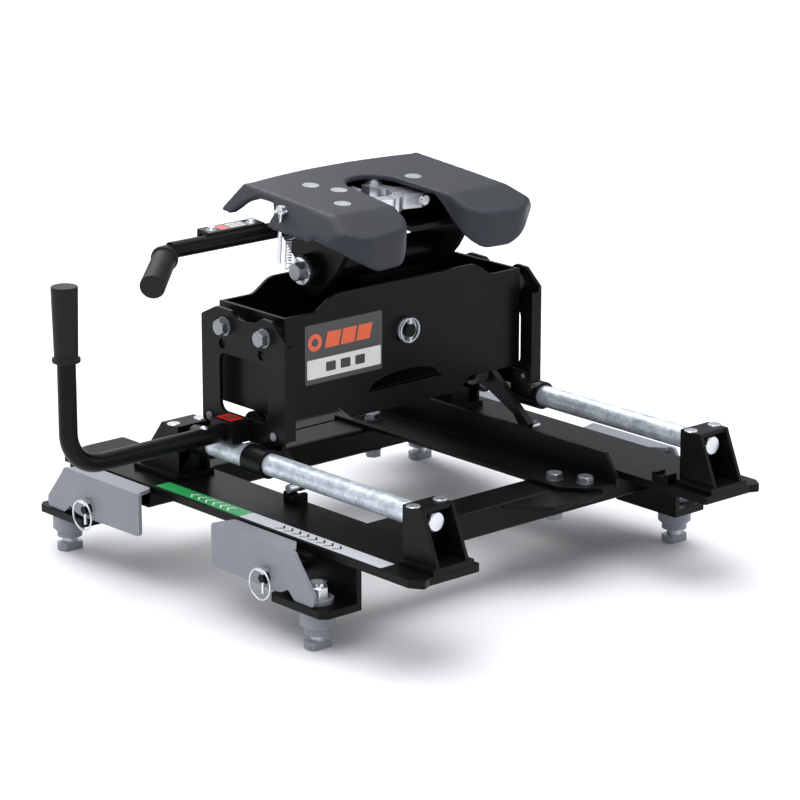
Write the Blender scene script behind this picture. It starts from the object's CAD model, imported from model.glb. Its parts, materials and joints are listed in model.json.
"""Roller fifth wheel hitch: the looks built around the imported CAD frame."""

import json
import math

import bmesh
import bpy
import numpy as np
from mathutils import Matrix, Vector


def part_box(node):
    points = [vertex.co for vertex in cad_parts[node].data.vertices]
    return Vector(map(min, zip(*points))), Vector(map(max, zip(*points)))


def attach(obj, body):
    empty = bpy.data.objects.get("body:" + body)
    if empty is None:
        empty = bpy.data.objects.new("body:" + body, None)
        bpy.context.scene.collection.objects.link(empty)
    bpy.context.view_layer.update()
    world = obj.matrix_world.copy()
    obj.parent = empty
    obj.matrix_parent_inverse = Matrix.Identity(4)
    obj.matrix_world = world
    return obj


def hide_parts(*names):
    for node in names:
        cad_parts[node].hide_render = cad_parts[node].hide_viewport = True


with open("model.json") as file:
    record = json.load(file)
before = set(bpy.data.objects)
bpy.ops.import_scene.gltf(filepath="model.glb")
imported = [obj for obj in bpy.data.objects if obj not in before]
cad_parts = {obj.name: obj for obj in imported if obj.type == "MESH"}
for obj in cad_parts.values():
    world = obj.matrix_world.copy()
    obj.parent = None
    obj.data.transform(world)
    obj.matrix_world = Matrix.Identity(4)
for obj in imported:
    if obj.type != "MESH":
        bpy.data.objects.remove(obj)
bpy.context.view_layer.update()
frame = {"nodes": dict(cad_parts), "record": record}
nodes = frame["nodes"]

MM = 0.001
CORNERS = ("lf", "lr", "rf", "rr")
HEAD_TILT = math.radians(4.5)
PITCH_Z = 481
SKID_Z = 120.7


# ---------- materials ----------


class Shade:
    """A material under construction: its node tree and its main shader."""

    def __init__(self, name, color, rough, metallic=0.0, specular=0.5, coat=0.0):
        self.mat = bpy.data.materials.new(name)
        self.mat.use_nodes = True
        self.tree = self.mat.node_tree
        self.bsdf = self.tree.nodes["Principled BSDF"]
        self.bsdf.inputs["Base Color"].default_value = (*color, 1)
        self.bsdf.inputs["Roughness"].default_value = rough
        self.bsdf.inputs["Metallic"].default_value = metallic
        self.bsdf.inputs["Specular IOR Level"].default_value = specular
        self.bsdf.inputs["Coat Weight"].default_value = coat
        self.bsdf.inputs["Coat Roughness"].default_value = 0.25
        self.coords = self.tree.nodes.new("ShaderNodeTexCoord").outputs["Object"]
        self.last_bump = None

    def link(self, a, b):
        self.tree.links.new(a, b)

    def noise(self, scale, detail=4, stretch=(1, 1, 1), rough=0.55):
        mapping = self.tree.nodes.new("ShaderNodeMapping")
        mapping.inputs["Scale"].default_value = stretch
        self.link(self.coords, mapping.inputs["Vector"])
        node = self.tree.nodes.new("ShaderNodeTexNoise")
        node.inputs["Scale"].default_value = scale
        node.inputs["Detail"].default_value = detail
        node.inputs["Roughness"].default_value = rough
        self.link(mapping.outputs["Vector"], node.inputs["Vector"])
        return node.outputs["Fac"]

    def cells(self, scale, stretch):
        mapping = self.tree.nodes.new("ShaderNodeMapping")
        mapping.inputs["Scale"].default_value = stretch
        self.link(self.coords, mapping.inputs["Vector"])
        node = self.tree.nodes.new("ShaderNodeTexVoronoi")
        node.inputs["Scale"].default_value = scale
        self.link(mapping.outputs["Vector"], node.inputs["Vector"])
        return node.outputs["Color"]

    def ramp(self, value, stops):
        node = self.tree.nodes.new("ShaderNodeValToRGB")
        elements = node.color_ramp.elements
        while len(elements) < len(stops):
            elements.new(0.5)
        for element, (pos, color) in zip(elements, stops):
            element.position = pos
            element.color = (*color, 1)
        self.link(value, node.inputs["Fac"])
        return node.outputs["Color"]

    def mix(self, factor, a, b):
        node = self.tree.nodes.new("ShaderNodeMix")
        node.data_type = "RGBA"
        for value, key in ((factor, 0), (a, 6), (b, 7)):
            if isinstance(value, bpy.types.NodeSocket):
                self.link(value, node.inputs[key])
            elif key == 0:
                node.inputs[key].default_value = value
            else:
                node.inputs[key].default_value = (*value, 1)
        return node.outputs[2]

    def color(self, value):
        self.link(value, self.bsdf.inputs["Base Color"])
        return self

    def rough(self, value, low, high):
        node = self.tree.nodes.new("ShaderNodeMapRange")
        node.inputs["To Min"].default_value = low
        node.inputs["To Max"].default_value = high
        self.link(value, node.inputs["Value"])
        self.link(node.outputs["Result"], self.bsdf.inputs["Roughness"])
        return self

    def bump(self, value, strength, distance):
        node = self.tree.nodes.new("ShaderNodeBump")
        node.inputs["Strength"].default_value = strength
        node.inputs["Distance"].default_value = distance
        self.link(value, node.inputs["Height"])
        if self.last_bump is not None:
            self.link(self.last_bump, node.inputs["Normal"])
        self.last_bump = node.outputs["Normal"]
        self.link(self.last_bump, self.bsdf.inputs["Normal"])
        return self


def tint(color, factor):
    return tuple(c * factor for c in color)


def powder_coat(name, color, rough, peel, specular):
    """Baked powder paint: orange peel, faint mottling and dusty patches."""
    s = Shade(name, color, rough, specular=specular, coat=0.04)
    broad = s.noise(9, 3)
    fine = s.noise(420, 2)
    dust = s.noise(55, 6, rough=0.7)
    base = s.mix(broad, tint(color, 0.86), tint(color, 1.16))
    dusty = s.ramp(dust, [(0.55, (0, 0, 0)), (0.78, (0.35, 0.35, 0.35))])
    s.color(s.mix(dusty, base, tint(color, 1.5)))
    s.rough(dust, rough - 0.07, rough + 0.09)
    s.bump(fine, peel, 0.0004)
    return s.mat


def galvanised(name):
    """Hot-dip zinc with spangles, runs and dull grey patches."""
    color = (0.62, 0.69, 0.76)
    s = Shade(name, color, 0.38, metallic=0.55)
    spangle = s.cells(230, (1, 0.6, 1))
    fine = s.noise(260, 5, (1, 0.5, 1))
    patches = s.noise(46, 8, (1, 0.7, 1), rough=0.78)
    grey = s.ramp(spangle, [(0.1, tint(color, 0.74)), (0.9, tint(color, 1.34))])
    marks = s.ramp(patches, [(0.38, (0.33, 0.37, 0.42)), (0.5, color), (0.62, (0.90, 0.96, 1.0))])
    s.color(s.mix(0.58, grey, marks))
    s.rough(patches, 0.26, 0.55)
    s.bump(fine, 0.16, 0.0005)
    s.bump(patches, 0.25, 0.001)
    return s.mat


def plated(name, color, rough):
    """Bright zinc plate on turned or pressed steel."""
    s = Shade(name, color, rough, metallic=0.86)
    cloud = s.noise(60, 4)
    grain = s.noise(700, 2)
    s.color(s.mix(cloud, tint(color, 0.8), tint(color, 1.1)))
    s.rough(cloud, rough - 0.08, rough + 0.1)
    s.bump(grain, 0.07, 0.0002)
    return s.mat


def moulded(name, color, rough):
    """Rubber or plastic, with a fine matt texture."""
    s = Shade(name, color, rough, specular=0.2)
    cloud = s.noise(40, 4)
    grain = s.noise(1500, 2)
    s.color(s.mix(cloud, tint(color, 0.8), tint(color, 1.35)))
    s.rough(cloud, rough - 0.08, rough + 0.08)
    s.bump(grain, 0.22, 0.0003)
    return s.mat


def printed(name, color):
    """Ink on a vinyl label, under a clear film."""
    rough = 0.32
    s = Shade(name, color, rough, coat=0.3)
    cloud = s.noise(30, 3)
    scuff = s.noise(240, 6, (1, 0.3, 1), rough=0.7)
    s.color(s.mix(cloud, tint(color, 0.92), tuple(min(1, c * 1.05) for c in color)))
    s.rough(scuff, rough - 0.05, rough + 0.14)
    s.bump(scuff, 0.05, 0.0002)
    return s.mat


BLACK = (0.0042, 0.0042, 0.0045)
paint = {
    "black_paint": powder_coat("black_powder_coat", BLACK, 0.31, 0.09, 0.1),
    "charcoal_paint": powder_coat("charcoal_powder_coat", (0.037, 0.040, 0.049), 0.40, 0.08, 0.12),
    "grey_paint": powder_coat("grey_enamel", (0.225, 0.24, 0.27), 0.38, 0.08, 0.4),
    "zinc": plated("zinc_plate", (0.52, 0.545, 0.59), 0.30),
    "galvanised": galvanised("galvanised_tube"),
    "lock_steel": plated("lock_steel_dark", (0.03, 0.03, 0.033), 0.42),
    "rubber": moulded("grip_rubber", (0.008, 0.008, 0.0085), 0.5),
    "bushing_plastic": moulded("bushing_plastic", (0.006, 0.006, 0.0065), 0.34),
}
label = {
    "green": printed("label_green", (0.018, 0.36, 0.10)),
    "white": printed("label_white", (0.80, 0.80, 0.79)),
    "dull_white": printed("label_dull_white", (0.56, 0.57, 0.61)),
    "ink": printed("label_ink", (0.02, 0.02, 0.022)),
    "orange": printed("label_orange", (0.86, 0.115, 0.022)),
    "red": printed("label_red", (0.62, 0.016, 0.014)),
    "slate": printed("label_slate", (0.035, 0.036, 0.038)),
}

hub_grey = powder_coat("hub_grey", (0.085, 0.087, 0.09), 0.4, 0.08, 0.3)
bright = plated("bright_zinc", (0.74, 0.77, 0.81), 0.24)
dull = plated("dull_zinc", (0.27, 0.285, 0.305), 0.34)
BRIGHT = {"tube_bolts", "head_rivets", "jaw_left", "jaw_right", "jaw_bolts", "safety_pin"}
BRIGHT |= {kind + corner for kind in ("anchor_nut_", "lynch_pin_") for corner in CORNERS}
DULL = {"upright_bolts", "pivot_bolts", "rail_bolts"}
slot_of = {p["node"]: p["material_slot"] for p in frame["record"]["subparts"]}


def finish_of(name):
    """The material of a whole CAD piece: two tones of zinc, and else its slot's paint."""
    if name in BRIGHT:
        return bright
    return dull if name in DULL else paint[slot_of[name]]


for name, obj in nodes.items():
    obj.data.materials.clear()
    obj.data.materials.append(finish_of(name))


def paint_faces(node, material, test):
    """Gives the faces of a CAD piece whose centres pass the test, in millimetres, another material."""
    mesh = nodes[node].data
    mesh.materials.append(material)
    for poly in mesh.polygons:
        if test(*(c / MM for c in poly.center)):
            poly.material_index = len(mesh.materials) - 1


# Positions in millimetres, on the rest pose's axes
ANCHOR_X = 381
STUD_Y = 223
STUD_Z = 92
STUD_R = 9.6
HANDLE_WALL = (18.5, 25.03)
NECK = (11.5, 23)
ROLL_Z = 377
KNOB_R = 11.5
KNOB_Y = -84
BAR_TOP_Z = 565.65
BAR_BOLT_X = (-300, -222)
BAR_BOLT_Y = 30.25
BAR_BOLT_R = 9.5
HEX_R = 16.4
HUB_END = 235
TIP_START = 248.5
TIP_Y = -90


def on_bar_bolt(x, y, z):
    """True on the two domed bolts that stand on the release bar's tilted top."""
    above = z - BAR_TOP_Z - (y - BAR_BOLT_Y) * math.tan(HEAD_TILT)
    off = min(math.hypot(x - bolt_x, y - BAR_BOLT_Y) for bolt_x in BAR_BOLT_X)
    return above > 0.3 and off < BAR_BOLT_R


def on_knob(x, y, z):
    """True on the roll pin's knob, inside its ring."""
    return math.hypot(x, z - ROLL_Z) < KNOB_R and y < KNOB_Y


for corner in CORNERS:
    side = -1 if corner[0] == "l" else 1
    end = -1 if corner[1] == "r" else 1

    def on_stud(x, y, z, side=side, end=end):
        """True on the locking stud, but not on the handle's wall round it."""
        off = math.hypot(y - end * STUD_Y, z - STUD_Z)
        return off < STUD_R and not HANDLE_WALL[0] < side * x - ANCHOR_X < HANDLE_WALL[1]

    paint_faces("anchor_handle_" + corner, paint["black_paint"], on_stud)
    paint_faces("anchor_" + corner, paint["zinc"], lambda x, y, z: NECK[0] < z < NECK[1])
paint_faces("roll_pin", paint["black_paint"], on_knob)
paint_faces("release_bar", bright, on_bar_bolt)
paint_faces("pivot_bolts", bright, lambda x, y, z: math.hypot(y, z - PITCH_Z) > HEX_R)
paint_faces("lock_pawls", hub_grey, lambda x, y, z: abs(x) < HUB_END)
paint_faces("lock_pawls", bright, lambda x, y, z: abs(x) > TIP_START and y < TIP_Y)

# ---------- soft edges on the CAD pieces ----------


WELD_GAP = 2e-5


def soften(obj, width):
    """Rounds an object's sharp edges with modifiers only, and shades it by face area."""
    for poly in obj.data.polygons:
        poly.use_smooth = True
    weld = obj.modifiers.new("weld", "WELD")
    weld.merge_threshold = WELD_GAP
    flat = obj.modifiers.new("planes", "DECIMATE")
    flat.decimate_type = "DISSOLVE"
    flat.angle_limit = math.radians(0.8)
    flat.delimit = {"MATERIAL"}
    bevel = obj.modifiers.new("edges", "BEVEL")
    bevel.width = width
    bevel.segments = 2
    bevel.limit_method = "ANGLE"
    bevel.angle_limit = math.radians(28)
    bevel.use_clamp_overlap = True
    bevel.miter_outer = "MITER_ARC"
    normal = obj.modifiers.new("normals", "WEIGHTED_NORMAL")
    normal.mode = "FACE_AREA"
    normal.keep_sharp = False


SHARP = {"release_spring", "head_plate", "head_rivets"}
# Width of the rounded edges in millimetres, by slot; other slots have 1
WIDTHS = {"zinc": 0.35, "lock_steel": 0.5, "galvanised": 0.5, "rubber": 1.6, "grey_paint": 2.0}
for name, obj in nodes.items():
    if name not in SHARP:
        soften(obj, WIDTHS.get(slot_of[name], 1.0) * MM)
for poly in nodes["release_spring"].data.polygons:
    poly.use_smooth = True


# ---------- making pieces ----------


def head_matrix():
    """From the head's own level frame, in millimetres from the pitch axis, to metres at rest."""
    lift = Matrix.Translation((0, 0, PITCH_Z * MM))
    return lift @ Matrix.Rotation(HEAD_TILT, 4, "X") @ Matrix.Scale(MM, 4)


def piece(name, bm, body, material, place=None, smooth=None):
    """A new mesh piece from a bmesh, riding on a CAD body."""
    if place is not None:
        bm.transform(place)
    bmesh.ops.recalc_face_normals(bm, faces=bm.faces)
    mesh = bpy.data.meshes.new(name)
    bm.to_mesh(mesh)
    bm.free()
    for poly in mesh.polygons:
        poly.use_smooth = smooth is not None
    if smooth is not None:
        mesh.set_sharp_from_angle(angle=math.radians(smooth))
    obj = bpy.data.objects.new(name, mesh)
    bpy.context.scene.collection.objects.link(obj)
    mesh.materials.append(material)
    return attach(obj, body)


def outline_slab(outline, thickness):
    """A slab that stands on the XY plane, from an outline of points."""
    bm = bmesh.new()
    face = bm.faces.new([bm.verts.new((x, y, 0)) for x, y in outline])
    bmesh.ops.extrude_face_region(bm, geom=[face])
    bm.verts.ensure_lookup_table()
    for v in bm.verts[len(outline):]:
        v.co.z += thickness
    return bm


def rounded_rect(x0, y0, x1, y1, r):
    """Corner-rounded rectangle as a list of points."""
    steps = 5
    points = []
    for cx, cy, start in (
        (x1 - r, y1 - r, 0), (x0 + r, y1 - r, 90), (x0 + r, y0 + r, 180), (x1 - r, y0 + r, 270),
    ):
        for k in range(steps + 1):
            a = math.radians(start + 90 * k / steps)
            points.append((cx + r * math.cos(a), cy + r * math.sin(a)))
    return points


def sticker(name, outline, body, material, place, lift=0.0, thickness=0.25):
    """A thin label film. Its outline is in millimetres in the plane that place sets."""
    bm = outline_slab(outline, thickness)
    return piece(name, bm, body, material, place @ Matrix.Translation((0, 0, lift)))


def tube_along(name, points, radius, body, material, place):
    """A round wire swept along points in millimetres."""
    sides = 8
    bm = bmesh.new()
    pts = [Vector(p) for p in points]
    last = len(pts) - 1
    rings = []
    normal = None
    for k, p in enumerate(pts):
        tangent = (pts[min(k + 1, last)] - pts[max(k - 1, 0)]).normalized()
        if normal is None:
            normal = tangent.orthogonal().normalized()
        normal = (normal - tangent * normal.dot(tangent)).normalized()
        side = tangent.cross(normal)
        ring = []
        for j in range(sides):
            a = 2 * math.pi * j / sides
            ring.append(bm.verts.new(p + (normal * math.cos(a) + side * math.sin(a)) * radius))
        rings.append(ring)
    for a, b in zip(rings, rings[1:]):
        for j in range(sides):
            i = (j + 1) % sides
            bm.faces.new((a[j], a[i], b[i], b[j]))
    bm.faces.new(list(reversed(rings[0])))
    bm.faces.new(rings[-1])
    return piece(name, bm, body, material, place, smooth=60)


# ---------- the skid plate: the CAD shell with pressed, rounded edges ----------

RIVETS = ((-98, 44), (-77, 0), (-122, -61), (78, 0))
RIVET_R = 13.5
RIVET_PROUD = 0.4
RIVET_LEDGE = 1.5
PLUG_DEPTH = 7
VOXEL = 0.0021
ALL_ROUNDS = 9
HORN_ROUNDS = 26
# The horns' share of the rounding grows from the first Y to full at the end of the run, in metres
HORN_FROM_Y = -0.035
HORN_RUN = 0.07


def add_disc(bm, x, y, z, radius, height):
    """A disc on the head, its lower face at z in the head's level frame."""
    place = head_matrix() @ Matrix.Translation((x, y, z + height / 2))
    bmesh.ops.create_cone(
        bm, cap_ends=True, segments=40, radius1=radius, radius2=radius, depth=height, matrix=place,
    )


def relax(mesh, rounds, weight):
    """Moves each vertex towards the mean of its neighbours, by its own weight."""
    count = len(mesh.vertices)
    co = np.empty(count * 3)
    mesh.vertices.foreach_get("co", co)
    co = co.reshape(-1, 3)
    pairs = np.empty(len(mesh.edges) * 2, dtype=np.int64)
    mesh.edges.foreach_get("vertices", pairs)
    pairs = pairs.reshape(-1, 2)
    degree = np.bincount(pairs.ravel(), minlength=count)[:, None]
    w = weight(co)[:, None]
    for _ in range(rounds):
        total = np.zeros_like(co)
        for axis in range(3):
            total[:, axis] += np.bincount(pairs[:, 0], co[pairs[:, 1], axis], count)
            total[:, axis] += np.bincount(pairs[:, 1], co[pairs[:, 0], axis], count)
        co += w * (total / degree - co)
    mesh.vertices.foreach_set("co", co.ravel())
    mesh.update()


def horn_weight(co):
    """0.5 at the horns, falling to nothing ahead of the slot's middle."""
    t = np.clip((HORN_FROM_Y - co[:, 1]) / HORN_RUN, 0, 1)
    return 0.5 * t * t * (3 - 2 * t)


bm = bmesh.new()
bm.from_mesh(nodes["head_plate"].data)
bmesh.ops.remove_doubles(bm, verts=bm.verts, dist=WELD_GAP)
# Discs that fill the rivets' recesses before the shell is made
for x, y in RIVETS:
    add_disc(bm, x, y, SKID_Z - PLUG_DEPTH, RIVET_R + 2, PLUG_DEPTH)
skid = piece("skid_plate", bm, "head", paint["charcoal_paint"], smooth=180)
remesh = skid.modifiers.new("shell", "REMESH")
remesh.mode = "VOXEL"
remesh.voxel_size = VOXEL
graph = bpy.context.evaluated_depsgraph_get()
shell = bpy.data.meshes.new_from_object(skid.evaluated_get(graph))
skid.modifiers.clear()
skid.data = shell
relax(shell, ALL_ROUNDS, lambda co: np.full(len(co), 0.5))
relax(shell, HORN_ROUNDS, horn_weight)
shell.polygons.foreach_set("use_smooth", [True] * len(shell.polygons))
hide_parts("head_plate")

bm = bmesh.new()
for x, y in RIVETS:
    add_disc(bm, x, y, SKID_Z - RIVET_LEDGE, RIVET_R, RIVET_LEDGE + RIVET_PROUD)
rims = [e for e in bm.edges if len(e.link_faces) == 2 and e.calc_face_angle() > 1]
bmesh.ops.bevel(bm, geom=rims, offset=0.3 * MM, segments=2, affect="EDGES")
rivets = piece("rivet_faces", bm, "head", bright, smooth=40)
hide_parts("head_rivets")

# ---------- safety pin's lanyard ----------

# All in millimetres, in the head's level frame
COIL = (-198, -27)
COIL_R = 5
COIL_TOP = 66
COIL_DROP = 38
COIL_STEPS = 9 * 12
LOOP_STEPS = 14
LOOP_Z = 23
lanyard = [(-152, -40, 60), (-170, -38, 67), (-188, -31, 70)]
for k in range(COIL_STEPS + 1):
    turn = 2 * math.pi * k / 12
    x = COIL[0] + COIL_R * math.cos(turn)
    y = COIL[1] + COIL_R * math.sin(turn)
    lanyard.append((x, y, COIL_TOP - COIL_DROP * k / COIL_STEPS))
for k in range(LOOP_STEPS + 1):
    turn = 2 * math.pi * k / LOOP_STEPS
    x = COIL[0] + COIL_R * math.cos(turn)
    lanyard.append((x, COIL[1] + 0.2 * k, LOOP_Z + COIL_R * math.sin(turn)))
tube_along("pin_lanyard", lanyard, 1.0, "head", bright, place=head_matrix())

# ---------- domed bolt on the lever's inner end ----------

bm = bmesh.new()
DOME_R = 6.5
DOME_SPOT = (-345, 0, 263)
bmesh.ops.create_uvsphere(bm, u_segments=24, v_segments=14, radius=DOME_R)
bm.transform(Matrix.Translation(DOME_SPOT) @ Matrix.Diagonal((1, 1, 0.6, 1)))
piece("lever_bolt_dome", bm, "lever", bright, place=Matrix.Scale(MM, 4), smooth=60)

# ---------- labels on the left side plate ----------

PLATE_TOP = 150
on_plate = Matrix.Scale(MM, 4) @ Matrix.Translation((0, 0, PLATE_TOP))
STRIP_X = (-363, -335)
sticker(
    "label_towing", rounded_rect(STRIP_X[0], -105, STRIP_X[1], 103, 2), "base",
    label["green"], on_plate,
)
sticker(
    "label_manoeuvring", rounded_rect(STRIP_X[0], -433, STRIP_X[1], -105.6, 2), "base",
    label["dull_white"], on_plate,
)


CHEVRON = 9


def chevron(x, y, way):
    """A chevron in the strip's plane that points forwards or backwards along Y."""
    w = way * CHEVRON * 0.5
    return [
        (x - CHEVRON, y - w), (x, y + w), (x + CHEVRON, y - w),
        (x + CHEVRON, y), (x, y + 2 * w), (x - CHEVRON, y),
    ]


def strip_marks(name, y_from, y_to, count, material, way):
    """A row of chevrons, as a generic mark in place of words."""
    mid = (STRIP_X[0] + STRIP_X[1]) / 2
    step = (y_to - y_from) / count
    for k in range(count):
        sticker(
            f"{name}_{k}", chevron(mid, y_from + step * (k + 0.5), way), "base",
            material, on_plate, 0.25, 0.08,
        )


strip_marks("mark_towing", -78, 30, 6, label["white"], 1)
strip_marks("mark_manoeuvring", -330, -180, 8, label["ink"], -1)

# ---------- label on the beam's rear face ----------

BEAM_REAR_Y = -80
on_beam = Matrix.Scale(MM, 4) @ Matrix.Translation((0, BEAM_REAR_Y, 0))
on_beam = on_beam @ Matrix.Rotation(math.radians(90), 4, "X")
sticker("beam_panel", rounded_rect(-208, 322, -50, 417, 3), "carriage", label["slate"], on_beam)
sticker(
    "beam_panel_white", rounded_rect(-204, 330, -53, 361, 2), "carriage",
    label["white"], on_beam, 0.25, 0.1,
)


def ring_points(cx, cy, r):
    """A circle as a list of points."""
    steps = 28
    return [
        (cx + r * math.cos(2 * math.pi * k / steps), cy + r * math.sin(2 * math.pi * k / steps))
        for k in range(steps)
    ]


sticker("beam_mark_badge", ring_points(-188, 388, 14), "carriage", label["orange"], on_beam, 0.25, 0.1)
sticker("beam_mark_eye", ring_points(-188, 388, 6.5), "carriage", label["slate"], on_beam, 0.35, 0.1)
for k, (x0, x1) in enumerate(((-168, -140), (-136, -108), (-104, -76))):
    sticker(
        f"beam_mark_bar_{k}", [(x0, 376), (x1, 376), (x1 + 6, 401), (x0 + 6, 401)], "carriage",
        label["orange"], on_beam, 0.25, 0.1,
    )
for k in range(3):
    x0 = -166 + 30 * k
    sticker(
        f"beam_mark_tick_{k}", rounded_rect(x0, 338, x0 + 20, 353, 2), "carriage",
        label["ink"], on_beam, 0.35, 0.1,
    )

# ---------- tag on the lever's housing and label on the release bar ----------

low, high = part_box("lever_housing")
on_housing = Matrix.Translation((0, 0, high.z)) @ Matrix.Scale(MM, 4)
sticker("housing_tag", rounded_rect(-305, -16, -279, 21, 2), "carriage", label["red"], on_housing)
for k in range(2):
    sticker(f"housing_tag_bar_{k}", rounded_rect(-300 + 10 * k, -10, -295 + 10 * k, 12, 1), "carriage",
            label["ink"], on_housing, 0.25, 0.1)

# Top of the flat bar: the release tube's axis height, its radius and the bar's own thickness
RELEASE_TOP = 65 + 13 + 4
on_bar = head_matrix() @ Matrix.Translation((0, 0, RELEASE_TOP))
sticker("bar_label", rounded_rect(-290, 26, -232, 51, 2), "release", label["slate"], on_bar)
sticker(
    "bar_label_band", rounded_rect(-288, 29, -272, 48, 1), "release", label["red"], on_bar, 0.25, 0.1,
)
for k in range(3):
    sticker(f"bar_label_line_{k}", rounded_rect(-268, 30 + 6.6 * k, -236, 33 + 6.6 * k, 0.8), "release",
            label["white"], on_bar, 0.25, 0.1)

# ---------- camera, light and floor ----------

camera_data = bpy.data.cameras.new("camera")
camera_data.lens = 152.64
camera_data.sensor_width = 36
camera = bpy.data.objects.new("camera", camera_data)
camera.location = (-3.4456, -3.9567, 1.7474)
aim = Vector((0.6373, 0.7196, -0.2756))
camera.rotation_euler = aim.to_track_quat("-Z", "Y").to_euler()
bpy.context.scene.collection.objects.link(camera)
bpy.context.scene.camera = camera


LIGHT_TARGET = (0, 0, 0.3)


def area_light(name, location, size, power):
    """A soft box that faces the middle of the hitch."""
    data = bpy.data.lights.new(name, "AREA")
    data.shape = "RECTANGLE"
    data.size = size[0]
    data.size_y = size[1]
    data.energy = power
    light = bpy.data.objects.new(name, data)
    light.location = location
    light.rotation_euler = (Vector(LIGHT_TARGET) - Vector(location)).to_track_quat("-Z", "Y").to_euler()
    bpy.context.scene.collection.objects.link(light)


area_light("key", (-2.4, -1.4, 3.0), (1.8, 1.8), 32)
area_light("fill", (2.8, -3.0, 1.8), (2.0, 1.6), 16)
area_light("rim", (0.8, 3.2, 2.6), (3.0, 1.4), 45)

sky_data = bpy.data.lights.new("overhead", "SUN")
sky_data.energy = 2.5
sky_data.angle = math.radians(70)
sky = bpy.data.objects.new("overhead", sky_data)
sky.rotation_euler = (math.radians(-10), math.radians(4), 0)
bpy.context.scene.collection.objects.link(sky)

world = bpy.data.worlds.new("studio")
world.use_nodes = True
world.node_tree.nodes["Background"].inputs["Color"].default_value = (0.94, 0.955, 1.0, 1)
world.node_tree.nodes["Background"].inputs["Strength"].default_value = 0.5
bpy.context.scene.world = world
bpy.context.scene.view_settings.view_transform = "Standard"

floor_mesh = bpy.data.meshes.new("floor")
floor_bm = bmesh.new()
bmesh.ops.create_grid(floor_bm, x_segments=1, y_segments=1, size=30)
floor_bm.to_mesh(floor_mesh)
floor_bm.free()
floor = bpy.data.objects.new("floor", floor_mesh)
floor.location.z = -0.001
bpy.context.scene.collection.objects.link(floor)
pale = Shade("floor_pale", (0.86, 0.865, 0.88), 0.75)
pale.color(pale.mix(pale.noise(2, 2), (0.85, 0.855, 0.87), (0.87, 0.875, 0.89)))
floor_mesh.materials.append(pale.mat)
